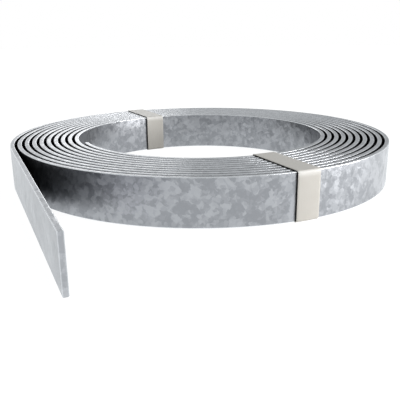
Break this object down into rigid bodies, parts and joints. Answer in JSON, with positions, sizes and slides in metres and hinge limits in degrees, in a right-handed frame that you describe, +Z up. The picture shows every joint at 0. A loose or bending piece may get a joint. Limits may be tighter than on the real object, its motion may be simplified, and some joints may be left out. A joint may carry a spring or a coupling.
{
  "type": "coil of galvanized flat bar",
  "caption": "Loose coil of galvanized steel flat bar wound on edge, with a straight tail and packing straps round its turns.",
  "frame": {"origin": "on the floor, under the axis of the coil's eye (the centre of its first half turn)", "axes": "+Z up along the eye's axis; the picture looks along +Y with +X to the right, and the tail runs towards -Y"},
  "size_m": [0.3789, 0.4853, 0.0415],
  "materials": {
    "zinc": "hot-dip galvanized, dull with spangle",
    "strap": "beige packing strap"
  },
  "bodies": {
    "root": {"flat_bar": "zinc", "strap_front": "strap", "strap_back": "strap"}
  },
  "joints": []
}
